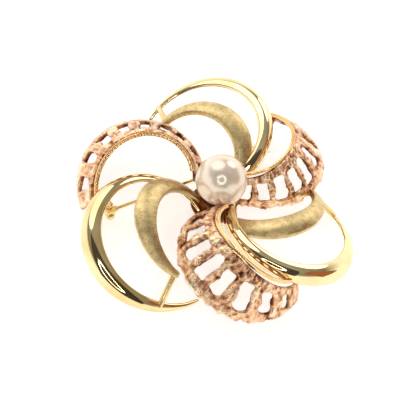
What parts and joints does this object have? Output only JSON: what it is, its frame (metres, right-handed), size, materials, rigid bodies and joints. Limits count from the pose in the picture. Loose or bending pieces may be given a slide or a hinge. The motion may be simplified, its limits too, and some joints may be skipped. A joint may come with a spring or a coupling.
{
  "type": "swirl brooch",
  "caption": "Domed swirl brooch: polished hoops, satin crescents and pierced rose-gold bands curl round a pearl, with a hinged pin and a turning safety catch on the back.",
  "frame": {"origin": "under the middle of the brooch's outline, in the plane that its back rests on; the axis of the hub and the pearl is at x = -0.76 mm, y = -0.61 mm", "axes": "+Z out of the face of the brooch through the pearl; +X and +Y across the face; the pin's closed direction is 46 degrees from +X towards +Y"},
  "size_m": [0.0431, 0.0416, 0.0127],
  "materials": {
    "polished_gold": "mirror-polished yellow gold",
    "satin_gold": "satin yellow gold with a fine cross-hatched engraving",
    "rose_bark_gold": "rose gold with a rough bark texture",
    "rim_gold": "polished yellow gold, warmer than the hoops",
    "tie_gold": "plain drawn yellow-gold wire",
    "hub_gold": "yellow gold, darkened in the recess",
    "finding_gold": "plain polished yellow gold",
    "pin_gold": "drawn and polished yellow-gold wire",
    "pearl_nacre": "cream nacre with a soft pink and green overtone"
  },
  "bodies": {
    "brooch_frame": {"hub": "hub_gold", "pearl_cup": "hub_gold", "pearl_peg": "polished_gold", "pearl": "pearl_nacre", "polished_hoop_1": "polished_gold", "polished_hoop_2": "polished_gold", "polished_hoop_3": "polished_gold", "satin_crescent_1": "satin_gold", "satin_crescent_2": "satin_gold", "satin_crescent_3": "satin_gold", "rose_band_1": "rose_bark_gold", "rose_band_2": "rose_bark_gold", "rose_band_3": "rose_bark_gold", "rose_rim_1": "rim_gold", "rose_rim_2": "rim_gold", "rose_rim_3": "rim_gold", "tie_bar_1": "tie_gold", "tie_bar_2": "tie_gold", "tie_bar_3": "tie_gold", "hinge_bridge": "finding_gold", "hinge_bracket": "finding_gold", "hinge_rivet": "finding_gold", "catch_bridge": "finding_gold", "catch_housing": "finding_gold"},
    "pin": {"pin_stem": "pin_gold", "pin_knuckle": "pin_gold"},
    "catch_lock": {"catch_sleeve": "finding_gold", "thumb_lever": "finding_gold"}
  },
  "joints": [
    {"name": "pin_hinge", "type": "hinge", "parent": "brooch_frame", "child": "pin", "pos_m": [-0.01496, -0.00711, 0.0016], "axis": [-0.7193, 0.6947, 0], "range_deg": [0, 75]},
    {"name": "catch_roll", "type": "hinge", "parent": "brooch_frame", "child": "catch_lock", "pos_m": [0.00268, 0.01116, 0.0016], "axis": [0.6947, 0.7193, 0], "range_deg": [0, 150]}
  ]
}
